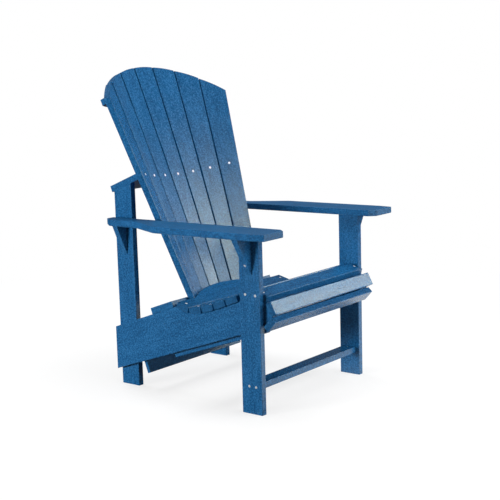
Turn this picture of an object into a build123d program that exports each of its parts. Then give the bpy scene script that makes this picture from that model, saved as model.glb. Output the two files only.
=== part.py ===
from build123d import *
import math
import os

# An upright garden chair with a fan back, built from boards of recycled plastic lumber.
# x runs across the chair, y from the front edge of the front legs to the rear, z up from the floor.
# At the end the whole chair is moved so that the origin is the middle of its footprint.
# Left and right are as seen from the front: left is -x.

# Boards
board = 24.0
edge_round = 2.0
leg_width = 89.0
slat_width = 55.0
slat_pitch = 61.5
nose_slat_width = 50.0

# Frame
width_over_legs = 661.4
rear_leg_front = 641.3
recline = 21.4
stringer_slope = 19.8
stringer_bottom_slope = 18.8
stringer_rear = 733.0
stringer_rear_bottom = 62.5
stringer_rear_top = 231.5
stringer_toe = 8.0
rail_drop = 19.0
rail_rear = 446.0
rail_toe_front = 11.0
stretcher_bottom = 88.5
cross_rail_board = 14.0
cross_rail_front = 579.0
cross_rail_bottom = 62.0

# Seat profile, as (y, z) points and tilts in degrees from the level
seat_low = (339.5, 327.5)
seat_tilts = (9.5, 17.5, 20.5, 21.5, 22.5)
seat_half = 317.5
rear_board_tilt = 14.5
rear_board_front = 8.0
rear_board_end = 56.0
rear_board_middle = 118.0
rear_board_round_half = 211.0
rear_board_screw = 31.0
front_board_width = 62.0
front_board_top = (-19.0, 430.5)
front_board_tilt = 16.0
nose_ridge = (-60.5, 371.5)
nose_upper_tilt = 61.9
nose_lower_top = (-56.5, 341.5)
nose_lower_tilt = 47.2

# Fan back: slats meet at a point far below the seat
slat_count = 7
back_origin = (0, 476.0, 360.0)
fan_half_width = 213.7
fan_spread = 0.1695
fan_depth = 70.7
fan_deepening = 0.0344
slat_gap = 5.0
slat_foot = -62.0
crown_height = 933.3
crown_drop = 153.2
middle_support_height = 478.0
middle_support_rear = 102.0
upper_support_height = 789.0
upper_support_width = 34.0
upper_support_half = 308.0
lower_support_front = 427.0
lower_support_width = 114.0
plank_width = 356.0
seat_clearance = 2.0
cut_reach = 3000.0
cut_depth = 900.0

# Arms, a little lower at the rear, and their brackets
arm_height = 641.0
arm_fall = 0.4
arm_width = 139.7
arm_front = -88.0
arm_rear = 740.0
arm_narrow = 67.0
arm_flare_front = 410.0
arm_flare_rear = 562.0
arm_flare_round = 70.0
arm_inner_corner = (21.0, 25.0)
arm_outer_corner = (10.0, 58.0)
arm_tail_corner = (32.0, 40.0)
front_bracket = (79.0, 134.0)
rear_bracket = (52.0, 116.0)
bracket_toe = 2.0

# Screws
screw_head = 9.0
screw_head_depth = 2.6
screw_shank = 4.6
screw_length = 42.0
screw_sides = 8
screw_play = 0.15
bracket_screw_share = 0.25
leg_screw_spots = ((64.0, 433.0), (20.0, 432.0), (26.0, 100.5), (56.0, 100.5))

leg_outer = width_over_legs / 2
stringer_outer = leg_outer - board
stringer_inner = stringer_outer - board
stringer_middle = stringer_inner + board / 2

parts = {}

# The back reclines: this plane lies on the middle slat, its y up along the slat
front_way = (0, -math.cos(math.radians(recline)), math.sin(math.radians(recline)))
up_way = (0, math.sin(math.radians(recline)), math.cos(math.radians(recline)))
back_plane = Plane(origin=back_origin, x_dir=(1, 0, 0), z_dir=front_way)


def direction(tilt):
    """Unit step in y and z that goes forward and up at this tilt."""
    return (-math.cos(math.radians(tilt)), math.sin(math.radians(tilt)))


def step(point, tilt, length, lift=0.0):
    """A point moved forward along a tilted surface, and off it by lift."""
    forward = direction(tilt)
    return (point[0] + forward[0] * length + forward[1] * lift,
            point[1] + forward[1] * length - forward[0] * lift)


def side_plate(points, x_start):
    """A board standing along the chair, cut to an outline of (y, z) points."""
    outline = make_face(Plane.YZ.offset(x_start) * Polyline(*points, close=True))
    return extrude(outline, amount=board, dir=(1, 0, 0))


def bevelled(plate):
    """A side plate with its outline bevelled on both faces."""
    faces = plate.faces().sort_by(Axis.X)
    return chamfer(faces[0].edges() + faces[-1].edges(), edge_round)


def eased(plate, up=Axis.Z):
    """A flat board with rounded upper edges and bevelled lower ones."""
    plate = fillet(plate.faces().sort_by(up)[-1].edges(), edge_round)
    return chamfer(plate.faces().sort_by(up)[0].edges(), edge_round)


def cross_board(corner, tilt, width, half_length, thickness=board):
    """A board across the chair: corner is its lower rear edge, tilt rises to the front."""
    centre = step(corner, tilt, width / 2, thickness / 2)
    forward = direction(tilt)
    plane = Plane(origin=(-half_length, *centre), x_dir=(0, *forward), z_dir=(1, 0, 0))
    return extrude(plane * RectangleRounded(width, thickness, edge_round), amount=2 * half_length)


def add_pair(name, left):
    """Keep a piece of the left side and its mirror image."""
    parts[name + "_left"] = left
    parts[name + "_right"] = mirror(left, about=Plane.YZ)


def meet(point, tilt, other, other_tilt):
    """Where two tilted lines of the side view cross."""
    forward, lead = direction(tilt), direction(other_tilt)
    gap_y, gap_z = other[0] - point[0], other[1] - point[1]
    length = (gap_y * lead[1] - gap_z * lead[0]) / (forward[0] * lead[1] - forward[1] * lead[0])
    return step(point, tilt, length)


def seat_line():
    """Where the seat boards lie on the stringer, from the low point to the front ridge."""
    points = [seat_low]
    for tilt in seat_tilts:
        points.append(step(points[-1], tilt, slat_pitch))
    return points


def nose_line():
    """Where the three front boards lie, from the ridge round the nose to its underside."""
    front = step(front_board_top, -front_board_tilt, 0, -board)
    rear = step(front, -front_board_tilt, -front_board_width)
    upper = step(nose_ridge, -nose_upper_tilt, -nose_slat_width, -board)
    ridge = step(nose_ridge, -nose_upper_tilt, 0, -board)
    lower_tilt = nose_lower_tilt - 180
    lower = step(nose_lower_top, lower_tilt, 0, -board)
    under = step(nose_lower_top, lower_tilt, nose_slat_width, -board)
    return rear, front, upper, ridge, lower, under


def arm_under(y):
    """Height of the arms' underside."""
    return arm_height - y * math.tan(math.radians(arm_fall))


def rear_slope(y):
    """Height of the stringer's rear top edge, which carries the back's lower support."""
    return stringer_rear_top + (stringer_rear - y) * math.tan(math.radians(stringer_slope))


def seat_peak():
    """The crest between the rear seat board and the rear slope."""
    return meet(seat_low, -rear_board_tilt, (stringer_rear, stringer_rear_top), stringer_slope)


def bottom_line(y, drop=0.0):
    """Height of the stringer's lower edge."""
    rise = math.tan(math.radians(stringer_bottom_slope))
    return stringer_rear_bottom - drop + (stringer_rear - y) * rise


# Legs

def upright(y_front, front_top, rear_top, x_start):
    """A standing board with rounded long edges and a sloping sawn top."""
    y_rear = y_front + leg_width
    points = [(y_front, 0), (y_rear, 0), (y_rear, rear_top), (y_front, front_top)]
    leg = side_plate(points, x_start)
    return fillet(leg.edges().filter_by(Axis.Z), edge_round)


def legs():
    add_pair("front_leg", upright(0, arm_under(0), arm_under(leg_width), -leg_outer))
    under = back_plane.from_local_coords(Vector(0, middle_support_height - board / 2, 0))
    fall = math.tan(math.radians(recline))
    front_top = under.Z - (rear_leg_front - under.Y) * fall
    add_pair("rear_leg", upright(rear_leg_front, front_top, front_top - leg_width * fall, -stringer_inner))


# Seat frame

def seat_frame():
    nose = nose_line()
    toe_front = nose[-1][0] + stringer_toe
    toe = (toe_front, bottom_line(toe_front))
    last_slat = seat_line()[-2]
    ridge = meet(last_slat, seat_tilts[-1], nose[1], -front_board_tilt)
    top = seat_line()[:-1] + [ridge] + list(nose[1:])
    stringer = [(stringer_rear, stringer_rear_bottom), (stringer_rear, stringer_rear_top), seat_peak()]
    add_pair("stringer", bevelled(side_plate(stringer + top + [toe], -stringer_outer)))

    foot = (rail_rear, bottom_line(rail_rear, rail_drop))
    slope = math.tan(math.radians(stringer_slope))
    height = (rear_slope(foot[0]) - foot[1]) / (1 + slope * slope)
    heel = (foot[0] + height * slope, foot[1] + height)
    rail_toe = (rail_toe_front, bottom_line(rail_toe_front, rail_drop))
    rail = [foot, heel, seat_peak()] + top + [rail_toe]
    add_pair("seat_rail", bevelled(side_plate(rail, -stringer_inner)))

    stretcher = cross_board(((leg_width + slat_width) / 2, stretcher_bottom), 0, slat_width, stringer_outer)
    parts["front_stretcher"] = stretcher
    cross_rail = cross_board((cross_rail_front, cross_rail_bottom), 90 + stringer_slope, leg_width,
                             stringer_inner, cross_rail_board)
    parts["seat_cross_rail"] = cross_rail


# Seat boards

def seat_boards():
    gap = (slat_pitch - slat_width) / 2
    for number, (start, tilt) in enumerate(zip(seat_line(), seat_tilts), start=1):
        behind_legs = start[0] - slat_pitch > leg_width
        half = seat_half if behind_legs else stringer_outer
        parts[f"seat_slat_{number}"] = cross_board(step(start, tilt, gap), tilt, slat_width, half)
    rear, front, upper, ridge, lower, under = nose_line()
    parts["seat_front_board"] = cross_board(rear, -front_board_tilt, front_board_width, stringer_outer)
    parts["seat_nose_upper"] = cross_board(upper, -nose_upper_tilt, nose_slat_width, seat_half)
    parts["seat_nose_lower"] = cross_board(lower, nose_lower_tilt - 180, nose_slat_width, seat_half)


# Fan back

def fan_point(share, height):
    """A point on the front of the fan: share runs from -1 at the left edge to 1 at the right."""
    half = fan_half_width + fan_spread * height
    depth = fan_depth + fan_deepening * height
    return back_plane.from_local_coords(Vector(half * share, height, depth * share * share))


def slat_shares(number):
    return (2 * number / slat_count - 1, 2 * (number + 1) / slat_count - 1)


def slat_chord(number, height):
    """The middle of a slat's front face at this height, and the way across it."""
    left, right = (fan_point(share, height) for share in slat_shares(number))
    return (left + right) / 2, right - left


def slat_plane(number):
    """The plane of a slat's front face: its y runs up the middle line, from seat height."""
    foot, _ = slat_chord(number, 0)
    head, _ = slat_chord(number, crown_height)
    _, across = slat_chord(number, crown_height / 2)
    front = across.cross(head - foot)
    return Plane(origin=foot, x_dir=(head - foot).cross(front), z_dir=front)


def fan_front(offset):
    """The open space in front of the fan, up to this far behind the slats' front faces."""
    space = None
    for number in range(slat_count):
        plane = slat_plane(number).offset(-offset)
        half = extrude(plane * Rectangle(cut_reach, cut_reach), amount=cut_depth)
        space = space & half if space else half
    return space


def crown():
    """A plate with the round outline of the back's top."""
    corner = crown_height - crown_drop
    half = fan_half_width + fan_spread * corner
    radius = (half * half + crown_drop * crown_drop) / (2 * crown_drop)
    centre = crown_height - radius
    disc = Pos(0, centre) * Circle(radius) + Pos(0, centre - radius) * Rectangle(2 * radius, 2 * radius)
    return extrude(back_plane * disc, amount=radius / 2, both=True)


def back_slats():
    """Tapered slats, each cut square through its thickness along the round top."""
    outline = crown()
    for number in range(slat_count):
        plane = slat_plane(number)
        points = []
        for height, sides in ((slat_foot, (-1, 1)), (crown_height, (1, -1))):
            middle, across = slat_chord(number, height)
            half = (across.length - slat_gap) / 2
            points += [(side * half, plane.to_local_coords(middle).Y) for side in sides]
        front = make_face(plane * Polyline(*points, close=True)) & outline
        slat = extrude(front, amount=board, dir=-plane.z_dir)
        long_edges = [edge for edge in slat.edges() if edge.length > crown_height / 2]
        parts[f"back_slat_{number + 1}"] = fillet(long_edges, edge_round)


def back_supports():
    """Three planks behind the slats, their front edges cut to one flat for each slat."""
    slats = [parts[f"back_slat_{number + 1}"] for number in range(slat_count)]
    space = fan_front(board)
    middle = Plane(origin=back_plane.from_local_coords(Vector(0, middle_support_height - board / 2, 0)),
                   x_dir=(1, 0, 0), z_dir=up_way)
    outline = Pos(0, middle_support_rear - plank_width / 2) * Rectangle(2 * stringer_inner, plank_width)
    parts["middle_back_support"] = extrude(middle * outline, amount=board) - space - slats

    slope = math.radians(stringer_slope)
    front_edge = (0, lower_support_front, rear_slope(lower_support_front))
    lower = Plane(origin=front_edge, x_dir=(1, 0, 0), z_dir=(0, math.sin(slope), math.cos(slope)))
    outline = Pos(0, lower_support_width / 2) * Rectangle(2 * stringer_outer, lower_support_width)
    parts["lower_back_support"] = extrude(lower * outline, amount=board) - space - slats

    upper = Plane(origin=back_plane.from_local_coords(Vector(0, upper_support_height - board / 2, 0)),
                  x_dir=(1, 0, 0), z_dir=up_way)
    plank = extrude(upper * Rectangle(2 * upper_support_half, plank_width), amount=board)
    parts["upper_back_support"] = (plank & fan_front(board + upper_support_width)) - space - slats


def rear_seat_board():
    """The seat board before the back, its rear edge rounded to follow the slats."""
    rise = math.radians(rear_board_tilt)
    plane = Plane(origin=(0, *seat_low), x_dir=(1, 0, 0), z_dir=(0, -math.sin(rise), math.cos(rise)))
    front = rear_board_front
    rear = front + rear_board_end
    half = rear_board_round_half
    outline = Polyline((half, rear), (seat_half, rear), (seat_half, front), (-seat_half, front),
                       (-seat_half, rear), (-half, rear))
    dome = ThreePointArc((-half, rear), (0, front + rear_board_middle), (half, rear))
    plate = eased(extrude(plane * make_face(outline + dome), amount=board), Axis(plane.origin, plane.z_dir))
    behind = extrude(plane * Rectangle(2 * half + board, cut_reach), amount=cut_depth, both=True)
    parts["rear_seat_board"] = plate - (behind - fan_front(-seat_clearance))


# Arms

arm_plane = Plane(origin=(0, 0, arm_height), x_dir=(1, 0, 0),
                  z_dir=(0, math.sin(math.radians(arm_fall)), math.cos(math.radians(arm_fall))))


def arms():
    inner, outer = -stringer_inner, -stringer_inner - arm_width
    narrow = inner - arm_narrow
    cut_x, cut_y = arm_inner_corner
    clip_x, clip_y = arm_outer_corner
    tail_x, tail_y = arm_tail_corner
    points = [(inner, arm_rear), (inner, arm_front + cut_y), (inner - cut_x, arm_front),
              (outer + clip_x, arm_front), (outer, arm_front + clip_y), (outer, arm_flare_front),
              (narrow, arm_flare_rear), (narrow, arm_rear - tail_y), (narrow + tail_x, arm_rear)]
    outline = make_face(Polyline(*points, close=True))
    bends = outline.vertices().filter_by_position(Axis.Y, arm_flare_front - board, arm_flare_rear + board)
    add_pair("arm", eased(extrude(arm_plane * fillet(bends, arm_flare_round), amount=board)))


def bracket_edge(x_face, y_middle, size):
    """The sloping outer edge of an arm bracket, from its toe up to its tip."""
    depth, height = size
    top = arm_under(y_middle)
    return (x_face - bracket_toe, top - height), (x_face - depth, top - bracket_toe)


def bracket(x_face, y_middle, size):
    """A corbel under an arm: upright against a leg, its outer edge sloping."""
    depth, height = size
    bottom, top = arm_under(y_middle) - height, arm_under(y_middle) + bracket_toe
    toe, tip = bracket_edge(x_face, y_middle, size)
    plane = Plane(origin=(0, y_middle + board / 2, 0), x_dir=(1, 0, 0), z_dir=(0, -1, 0))
    outline = Polyline(toe, (x_face, bottom), (x_face, top), (x_face - depth, top), tip, close=True)
    return split(extrude(plane * make_face(outline), amount=board), bisect_by=arm_plane, keep=Keep.BOTTOM)


bracket_places = {"front": (-leg_outer, leg_width / 2, front_bracket),
                  "rear": (-stringer_inner, rear_leg_front + leg_width / 2, rear_bracket)}


def brackets():
    for end, place in bracket_places.items():
        add_pair(f"{end}_arm_bracket", bracket(*place))


# Screws: each group of equal screws is one node, and each screw has its hole

def screw(play=0.0):
    """A countersunk screw, its head level with z = 0 and its shank going down."""
    rim = RegularPolygon(screw_head / 2 + play, screw_sides)
    neck = Pos(0, 0, -screw_head_depth) * RegularPolygon(screw_shank / 2 + play, screw_sides)
    shank = extrude(neck, amount=screw_length - screw_head_depth + play, dir=(0, 0, -1))
    return loft([rim.face(), neck.face()], ruled=True) + shank


def fasten(name, places, hosts):
    holes = [place.location * screw(screw_play) for place in places]
    for host in hosts:
        parts[host] = parts[host] - holes
    parts[name] = Part() + [place.location * screw() for place in places]


def both_sides(places):
    """Places on the left side, and the same on the right."""
    mirrored = []
    for place in places:
        origin, out = place.origin, place.z_dir
        mirrored.append(Plane(origin=(-origin.X, origin.Y, origin.Z), z_dir=(-out.X, out.Y, out.Z)))
    return places + mirrored


def named(*starts):
    return [name for name in parts if name.startswith(starts)]


def back_screws():
    places = []
    for number in range(slat_count):
        middle, _ = slat_chord(number, middle_support_height)
        places.append(Plane(origin=middle, z_dir=slat_plane(number).z_dir))
    fasten("back_screws", places, named("back_slat", "middle_back_support"))


def seat_screws():
    places = []
    rear_line = step(seat_low, -rear_board_tilt, -(rear_board_front + rear_board_screw), board)
    lines = [(rear_line, -rear_board_tilt)]
    for start, tilt in zip(seat_line()[:-2], seat_tilts):
        lines.append((step(start, tilt, slat_pitch / 2, board), tilt))
    lines.append((step(front_board_top, -front_board_tilt, -front_board_width / 2), -front_board_tilt))
    for point, tilt in lines:
        forward = direction(tilt)
        places.append(Plane(origin=(-stringer_middle, *point), z_dir=(0, forward[1], -forward[0])))
    fasten("seat_screws", both_sides(places), named("seat_slat", "seat_front", "rear_seat", "stringer"))


def leg_screws():
    places = [Plane(origin=(-leg_outer, *spot), z_dir=(-1, 0, 0)) for spot in leg_screw_spots]
    hosts = named("front_leg", "seat_slat_5", "seat_front", "front_stretcher")
    fasten("leg_screws", both_sides(places), hosts)


def bracket_screws():
    x_face, y_middle, size = bracket_places["front"]
    toe, tip = bracket_edge(x_face, y_middle, size)
    run, rise = tip[0] - toe[0], tip[1] - toe[1]
    origin = (toe[0] + run * bracket_screw_share, y_middle, toe[1] + rise * bracket_screw_share)
    places = [Plane(origin=origin, z_dir=(-rise, 0, run))]
    fasten("bracket_screws", both_sides(places), named("front_arm", "front_leg"))


legs()
seat_frame()
seat_boards()
back_slats()
back_supports()
rear_seat_board()
arms()
brackets()
back_screws()
seat_screws()
leg_screws()
bracket_screws()

# The origin goes to the middle of the footprint, on the floor
boxes = [piece.bounding_box() for piece in parts.values()]
y_middle = (min(box.min.Y for box in boxes) + max(box.max.Y for box in boxes)) / 2

os.makedirs("parts", exist_ok=True)
for name, piece in parts.items():
    export_step(Pos(0, -y_middle, 0) * piece, f"parts/{name}.step")
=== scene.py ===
import bmesh
import bpy
import math
import numpy
from mathutils import Matrix, Vector

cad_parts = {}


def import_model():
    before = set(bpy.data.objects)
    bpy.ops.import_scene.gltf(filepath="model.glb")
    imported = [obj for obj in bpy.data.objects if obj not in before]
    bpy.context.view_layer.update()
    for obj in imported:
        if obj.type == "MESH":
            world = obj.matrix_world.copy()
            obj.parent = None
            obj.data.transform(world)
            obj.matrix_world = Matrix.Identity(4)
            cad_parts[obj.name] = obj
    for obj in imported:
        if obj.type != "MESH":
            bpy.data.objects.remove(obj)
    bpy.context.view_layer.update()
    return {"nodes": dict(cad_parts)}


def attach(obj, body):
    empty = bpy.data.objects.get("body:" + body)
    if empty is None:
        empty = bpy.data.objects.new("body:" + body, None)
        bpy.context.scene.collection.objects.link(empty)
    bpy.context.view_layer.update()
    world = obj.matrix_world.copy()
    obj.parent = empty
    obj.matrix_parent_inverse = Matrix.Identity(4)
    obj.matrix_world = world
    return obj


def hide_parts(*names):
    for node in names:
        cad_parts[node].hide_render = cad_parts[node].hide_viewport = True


# Metres and degrees. +Z is up, the chair faces -Y, and +X is to the right of a viewer in front of it.
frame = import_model()

# Camera: the photograph's view of the chair, from its front left
camera_azimuth = -51.98
camera_elevation = 9.35
camera_roll = -1.58
camera_place = Vector((-3.4152, -2.7496, 1.238))
image_pixels = 500
focal_pixels = 1141.8
sensor_width = 36.0

# Lumber: colours, gloss, pebbled skin and streaks, then how sawn faces and the arms differ
deep_blue = (0.0045, 0.051, 0.141, 1)
blue = (0.009, 0.088, 0.226, 1)
pale_blue = (0.023, 0.138, 0.32, 1)
deep_level, blue_level, pale_level = 0.38, 0.5, 0.62
sheen_tint = (0.93, 1.0, 0.74, 1)
lumber_roughness = 0.17
roughness_spread = 0.14
lumber_gloss = 0.62
pebble_size = 0.006
pebble_detail = 4.0
pebble_crispness = 0.6
pebble_depth = 0.00095
mottle_size = 0.02
mottle_detail = 4.0
mottle_share = 0.2
grain_stretch = 6.0
cut_slant = 0.6
cut_shade = 0.8
cut_dullness = 0.25
arm_dullness = 0.22

# Boards that lean
back_recline = 21.4
stringer_slope = 19.8

# Screws: a head's outline from the shank's end to the drive's edge, as shares of the CAD head's radius
screw_outline = ((0.47, -0.58), (0.9, -0.03), (1.05, 0.01), (1.05, 0.05),
                 (0.96, 0.1), (0.8, 0.15), (0.6, 0.19))
drive_half = 0.3
drive_top = 0.2
drive_floor = -0.35
screw_steps = 24
sharp_angle = 35.0
weld_distance = 1e-5
rim_share = 0.9

# Steel of the screws, with a speckle of two greys
dull_steel = (0.74, 0.77, 0.81, 1)
bright_steel = (0.9, 0.93, 0.97, 1)
dull_level, bright_level = 0.3, 0.7
steel_metal = 0.5
steel_roughness = (0.3, 0.46)
speckle_size = 0.0008

# Background: white where it is seen, with less in its light and in gloss
white = (1, 1, 1, 1)
black = (0, 0, 0, 1)
world_strength = 0.06
gloss_share = 0.03

# Floor: its glow hides the shadow partly near the chair, and wholly past the far end of the shadow's reach
floor_half = 30.0
floor_white = (0.95, 0.95, 0.95, 1)
floor_glow = 0.75
shadow_reach = (1.2, 2.6)
floor_bounce = (0.1, 0.1, 0.1, 1)

# The floor's band of painted light in front, paler in what it throws back and white in gloss: the way to it,
# then where it starts, is full, wanes and ends within a reach
front_painted_light = (0.85, 0.85, 0.85, 1)
front_way = (0.6, -0.8, 0)
front_reach = (0.0, 4.0)
front_span = (0.0, 0.15, 0.45, 0.8)

# Lamps: a place and way, or an azimuth, elevation and distance from the chair's middle, then size and watts
chair_middle = Vector((0, 0, 0.55))
key_place, key_way, key_size, key_power = (2.7, -3.4, 2.1), (0, -1, 0), (7.4, 0.9), 205
side_place, side_way, side_size, side_power = (5.2, -1.4, 1.68), (1, 0, 0), (4.0, 0.95), 15
fill_from, fill_size, fill_power = (-113, 1, 5.0), (1.5, 0.9), 280
front_from, front_size, front_power = (10, 8, 3.0), (1.8, 0.8), 16
top_from, top_size, top_power = (0, 85, 3.4), (2.4, 2.4), 88
rear_from, rear_size, rear_power = (170, 40, 4.2), (2.6, 1.4), 95


def new_object(name, data):
    thing = bpy.data.objects.new(name, data)
    bpy.context.scene.collection.objects.link(thing)
    return thing


def new_material(name):
    material = bpy.data.materials.new(name)
    material.use_nodes = True
    tree = material.node_tree
    tree.nodes.clear()
    output = tree.nodes.new("ShaderNodeOutputMaterial")
    return material, tree, output


def add(tree, kind, **values):
    """A new node, with its named input values set."""
    node = tree.nodes.new(kind)
    for name, value in values.items():
        node.inputs[name.replace("_", " ")].default_value = value
    return node


def ramp(tree, factor, *stops):
    """A colour that changes with a factor, through stops of a position and a colour each."""
    node = tree.nodes.new("ShaderNodeValToRGB")
    elements = node.color_ramp.elements
    elements[0].position, elements[0].color = stops[0]
    elements[1].position, elements[1].color = stops[-1]
    for position, colour in stops[1:-1]:
        elements.new(position).color = colour
    tree.links.new(factor, node.inputs["Fac"])
    return node.outputs["Color"]


def noise(tree, vector, size, detail=2.0, roughness=0.5):
    node = add(tree, "ShaderNodeTexNoise", Scale=1 / size, Detail=detail, Roughness=roughness)
    tree.links.new(vector, node.inputs["Vector"])
    return node.outputs["Fac"]


def spread(tree, value, low, high, start=0.0, end=1.0):
    """A value between start and end, taken to the range from low to high."""
    node = add(tree, "ShaderNodeMapRange", From_Min=start, From_Max=end, To_Min=low, To_Max=high)
    tree.links.new(value, node.inputs["Value"])
    return node.outputs["Result"]


def blend(tree, first, second, share):
    node = add(tree, "ShaderNodeMix", Factor=share)
    tree.links.new(first, node.inputs["A"])
    tree.links.new(second, node.inputs["B"])
    return node.outputs["Result"]


def blend_shaders(tree, first, second, share):
    node = tree.nodes.new("ShaderNodeMixShader")
    tree.links.new(share, node.inputs["Fac"])
    tree.links.new(first, node.inputs[1])
    tree.links.new(second, node.inputs[2])
    return node.outputs["Shader"]


def scaled(tree, colour, factor):
    node = tree.nodes.new("ShaderNodeVectorMath")
    node.operation = "SCALE"
    tree.links.new(colour, node.inputs[0])
    tree.links.new(factor, node.inputs["Scale"])
    return node.outputs["Vector"]


def maths(tree, operation, first, second):
    """A calculation with a value and another one or a number."""
    node = tree.nodes.new("ShaderNodeMath")
    node.operation = operation
    tree.links.new(first, node.inputs[0])
    if isinstance(second, float):
        node.inputs[1].default_value = second
    else:
        tree.links.new(second, node.inputs[1])
    return node.outputs["Value"]


def extent(tree, vector, way):
    """How far a vector reaches along a direction."""
    node = tree.nodes.new("ShaderNodeVectorMath")
    node.operation = "DOT_PRODUCT"
    node.inputs[1].default_value = way
    tree.links.new(vector, node.inputs[0])
    return node.outputs["Value"]


def grain_space(tree, direction):
    """Coordinates turned along the board, plain and squeezed so that patterns stretch that way."""
    place = tree.nodes.new("ShaderNodeTexCoord")
    turn = Vector(direction).to_track_quat("X", "Z").inverted().to_euler()
    turned = add(tree, "ShaderNodeMapping", Rotation=turn)
    tree.links.new(place.outputs["Object"], turned.inputs["Vector"])
    squeezed = add(tree, "ShaderNodeMapping", Scale=(1 / grain_stretch, 1, 1))
    tree.links.new(turned.outputs["Vector"], squeezed.inputs["Vector"])
    return turned.outputs["Vector"], squeezed.outputs["Vector"]


def cut_faces(tree, direction):
    """1 on the faces sawn across the board, 0 along it."""
    surface = tree.nodes.new("ShaderNodeNewGeometry")
    slant = extent(tree, surface.outputs["True Normal"], direction)
    return maths(tree, "GREATER_THAN", maths(tree, "MULTIPLY", slant, slant), cut_slant ** 2)


def lumber(name, direction, dullness=0.0, sawn=False):
    """Blue plastic lumber with a pebbled skin and soft streaks along the board.

    The faces sawn across it are darker and duller, unless the whole board counts as sawn.
    """
    material, tree, output = new_material(name)
    plain, stretched = grain_space(tree, direction)
    shader = add(tree, "ShaderNodeBsdfPrincipled", Specular_IOR_Level=lumber_gloss, Specular_Tint=sheen_tint)
    mottle = noise(tree, stretched, mottle_size, mottle_detail)
    pebble = noise(tree, plain, pebble_size, pebble_detail, pebble_crispness)
    colour = ramp(tree, blend(tree, pebble, mottle, mottle_share),
                  (deep_level, deep_blue), (blue_level, blue), (pale_level, pale_blue))
    middle = lumber_roughness + dullness
    rough = spread(tree, pebble, middle - roughness_spread, middle + roughness_spread)
    if not sawn:
        cut = cut_faces(tree, direction)
        colour = scaled(tree, colour, spread(tree, cut, 1.0, cut_shade))
        rough = maths(tree, "ADD", rough, maths(tree, "MULTIPLY", cut, cut_dullness))
    bump = add(tree, "ShaderNodeBump", Strength=1.0, Distance=pebble_depth)
    tree.links.new(pebble, bump.inputs["Height"])
    tree.links.new(colour, shader.inputs["Base Color"])
    tree.links.new(rough, shader.inputs["Roughness"])
    tree.links.new(bump.outputs["Normal"], shader.inputs["Normal"])
    tree.links.new(shader.outputs["BSDF"], output.inputs["Surface"])
    return material


def steel():
    """Satin stainless steel, dulled a little, with a fine speckle."""
    material, tree, output = new_material("screw_steel")
    place = tree.nodes.new("ShaderNodeTexCoord")
    shader = add(tree, "ShaderNodeBsdfPrincipled", Metallic=steel_metal)
    speckle = noise(tree, place.outputs["Object"], speckle_size)
    colour = ramp(tree, speckle, (dull_level, dull_steel), (bright_level, bright_steel))
    tree.links.new(colour, shader.inputs["Base Color"])
    tree.links.new(spread(tree, speckle, *steel_roughness), shader.inputs["Roughness"])
    tree.links.new(shader.outputs["BSDF"], output.inputs["Surface"])
    return material


def islands(source):
    """The corner points of each separate solid in a mesh."""
    seen = set()
    for first in source.verts:
        if first in seen:
            continue
        seen.add(first)
        island = [first]
        for vert in island:
            for edge in vert.link_edges:
                other = edge.other_vert(vert)
                if other not in seen:
                    seen.add(other)
                    island.append(other)
        yield numpy.array([vert.co for vert in island])


def pins(mesh):
    """The CAD screws in a mesh: each one's head, the way it points, its head's radius and its length."""
    source = bmesh.new()
    source.from_mesh(mesh)
    bmesh.ops.remove_doubles(source, verts=source.verts, dist=weld_distance)
    found = []
    for points in islands(source):
        middle = points.mean(0)
        axis = numpy.linalg.svd(points - middle)[2][0]
        along = (points - middle) @ axis
        away = numpy.linalg.norm(points - middle - numpy.outer(along, axis), axis=1)
        head = points[away > rim_share * away.max()].mean(0)
        if (head - middle) @ axis < 0:
            axis = -axis
        found.append((Vector(head), Vector(axis), away.max(), along.max() - along.min()))
    source.free()
    return found


def screws(name, material):
    """Round heads with a square drive, in place of the CAD's eight-sided ones."""
    shape = bmesh.new()
    turns = [2 * math.pi * step / screw_steps for step in range(screw_steps)]
    square = [1 / max(abs(math.cos(turn)), abs(math.sin(turn))) for turn in turns]
    for head, axis, radius, length in pins(frame["nodes"][name].data):
        place = Matrix.Translation(head) @ axis.to_track_quat("Z", "Y").to_matrix().to_4x4()
        rings = [([screw_outline[0][0]] * screw_steps, -length / radius)]
        rings += [([away] * screw_steps, rise) for away, rise in screw_outline]
        rings += [([drive_half * away for away in square], rise) for rise in (drive_top, drive_floor)]
        lines = []
        for reaches, rise in rings:
            points = [Vector((reach * math.cos(turn), reach * math.sin(turn), rise))
                      for reach, turn in zip(reaches, turns)]
            lines.append([shape.verts.new(place @ (point * radius)) for point in points])
        for low, high in zip(lines, lines[1:]):
            for step in range(screw_steps):
                shape.faces.new((low[step - 1], low[step], high[step], high[step - 1]))
        shape.faces.new(lines[0][::-1])
        shape.faces.new(lines[-1])
    mesh = bpy.data.meshes.new(name)
    for face in shape.faces:
        face.smooth = True
    shape.to_mesh(mesh)
    shape.free()
    mesh.set_sharp_from_angle(angle=math.radians(sharp_angle))
    mesh.materials.append(material)
    piece = new_object(name.replace("screws", "screw_set"), mesh)
    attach(piece, "root")
    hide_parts(name)


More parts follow.
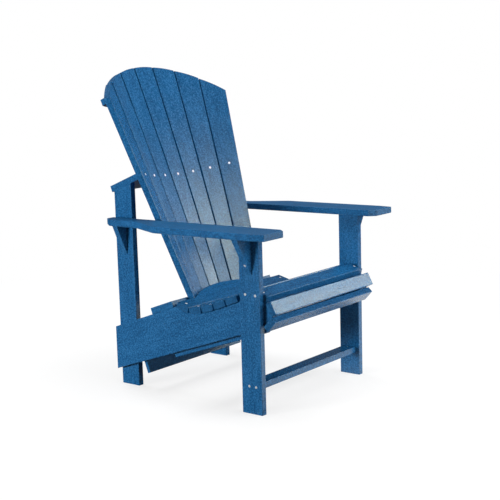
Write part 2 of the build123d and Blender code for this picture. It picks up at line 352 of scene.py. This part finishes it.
def dress():
    """Give each board the lumber whose streaks run along it, and the screws their steel."""
    recline, slope = math.radians(back_recline), math.radians(stringer_slope)
    across = lumber("lumber_across", (1, 0, 0))
    upright = lumber("lumber_upright", (0, 0, 1))
    along = lumber("lumber_along", (0, 1, 0), arm_dullness)
    reclined = lumber("lumber_reclined", (0, math.sin(recline), math.cos(recline)))
    sloped = lumber("lumber_sloped", (0, -math.cos(slope), math.sin(slope)))
    sawn = lumber("lumber_sawn", (1, 0, 0), cut_dullness, sawn=True)
    screw_steel = steel()
    starts = (("back_slat", reclined), ("front_leg", upright), ("rear_leg", upright), ("arm", along),
              ("front_arm", upright), ("rear_arm", upright), ("stringer", sloped), ("seat_rail", sloped),
              ("lower_back", sawn), ("middle_back", sawn), ("upper_back", sawn), ("seat_cross", sawn))
    for name, node in frame["nodes"].items():
        chosen = across
        for start, material in starts:
            if name.startswith(start):
                chosen = material
        if name.endswith("screws"):
            chosen = screw_steel
            screws(name, screw_steel)
        for place in node.material_slots:
            place.material = chosen


def camera():
    azimuth, elevation, roll = map(math.radians, (camera_azimuth, camera_elevation, camera_roll))
    right = Vector((math.cos(azimuth), math.sin(azimuth), 0))
    back = Vector((math.sin(azimuth) * math.cos(elevation), -math.cos(azimuth) * math.cos(elevation),
                   math.sin(elevation)))
    up = back.cross(right)
    right, up = (right * math.cos(roll) + up * math.sin(roll), up * math.cos(roll) - right * math.sin(roll))
    data = bpy.data.cameras.new("camera")
    data.sensor_fit = "HORIZONTAL"
    data.sensor_width = sensor_width
    data.lens = sensor_width * focal_pixels / image_pixels
    eye = new_object("camera", data)
    turn = Matrix((right, up, back)).transposed()
    eye.matrix_world = Matrix.Translation(camera_place) @ turn.to_4x4()
    bpy.context.scene.camera = eye


def seen_ray(tree, share):
    """1 for rays that show the background from the camera or through glass, and a share of it in gloss."""
    path = tree.nodes.new("ShaderNodeLightPath")
    total = maths(tree, "MULTIPLY", path.outputs["Is Glossy Ray"], share)
    for ray in ("Is Camera Ray", "Is Transmission Ray"):
        total = maths(tree, "MAXIMUM", total, path.outputs[ray])
    return total


def world():
    space = bpy.data.worlds.new("studio")
    bpy.context.scene.world = space
    space.use_nodes = True
    tree = space.node_tree
    tree.nodes.clear()
    output = tree.nodes.new("ShaderNodeOutputWorld")
    light = add(tree, "ShaderNodeBackground", Color=white, Strength=world_strength)
    shown = add(tree, "ShaderNodeBackground", Color=white, Strength=1.0)
    mixed = blend_shaders(tree, light.outputs["Background"], shown.outputs["Background"],
                          seen_ray(tree, gloss_share))
    tree.links.new(mixed, output.inputs["Surface"])


def floor():
    """White where it is seen, apart from the chair's shadow, and grey in the light it throws back.

    A band of painted light in front of the chair throws back more, and shows white in gloss, as a painted
    pool of lit floor.
    """
    material, tree, output = new_material("floor")
    place = tree.nodes.new("ShaderNodeTexCoord")
    away = tree.nodes.new("ShaderNodeVectorMath")
    away.operation = "LENGTH"
    tree.links.new(place.outputs["Object"], away.inputs[0])
    pale = add(tree, "ShaderNodeBsdfDiffuse", Color=floor_white)
    glow = add(tree, "ShaderNodeEmission", Color=white, Strength=1.0)
    shown = blend_shaders(tree, pale.outputs["BSDF"], glow.outputs["Emission"],
                          spread(tree, away.outputs["Value"], floor_glow, 1.0, *shadow_reach))
    ahead = spread(tree, extent(tree, place.outputs["Object"], front_way), 0.0, 1.0, *front_reach)
    # painted light: a pool of lit floor in front, painted into the bounce colour and into the gloss
    painted_light_band = ramp(tree, ahead, *zip(front_span, (black, white, white, black)))
    bounce = tree.nodes.new("ShaderNodeBsdfDiffuse")
    tree.links.new(ramp(tree, painted_light_band, (0, floor_bounce), (1, front_painted_light)), bounce.inputs["Color"])
    mixed = blend_shaders(tree, bounce.outputs["BSDF"], shown, seen_ray(tree, painted_light_band))
    tree.links.new(mixed, output.inputs["Surface"])
    mesh = bpy.data.meshes.new("floor")
    corners = [(x * floor_half, y * floor_half, 0) for x, y in ((-1, -1), (1, -1), (1, 1), (-1, 1))]
    mesh.from_pydata(corners, [], [(0, 1, 2, 3)])
    mesh.materials.append(material)
    ground = new_object("floor", mesh)


def around(azimuth, elevation, distance):
    """A place around the chair and the way out to it: azimuth 0 is in front, 90 to the right."""
    turn, rise = math.radians(azimuth), math.radians(elevation)
    way = Vector((math.sin(turn) * math.cos(rise), -math.cos(turn) * math.cos(rise), math.sin(rise)))
    return chair_middle + way * distance, way


def soft_box(name, place, way, size, power, mirrored=True):
    """A lamp whose light goes against the given way. It shows in gloss only where it is mirrored."""
    data = bpy.data.lights.new(name, "AREA")
    data.shape = "RECTANGLE"
    data.size, data.size_y = size
    data.energy = power
    lamp = new_object(name, data)
    lamp.location = place
    lamp.visible_glossy = mirrored
    lamp.rotation_euler = Vector(way).to_track_quat("Z", "Y").to_euler()


dress()
camera()
world()
floor()
soft_box("key", key_place, key_way, key_size, key_power)
soft_box("side", side_place, side_way, side_size, side_power)
soft_box("fill", *around(*fill_from), fill_size, fill_power, mirrored=False)
soft_box("front", *around(*front_from), front_size, front_power, mirrored=False)
soft_box("top", *around(*top_from), top_size, top_power)
soft_box("rear", *around(*rear_from), rear_size, rear_power, mirrored=False)
bpy.context.scene.view_settings.view_transform = "Standard"
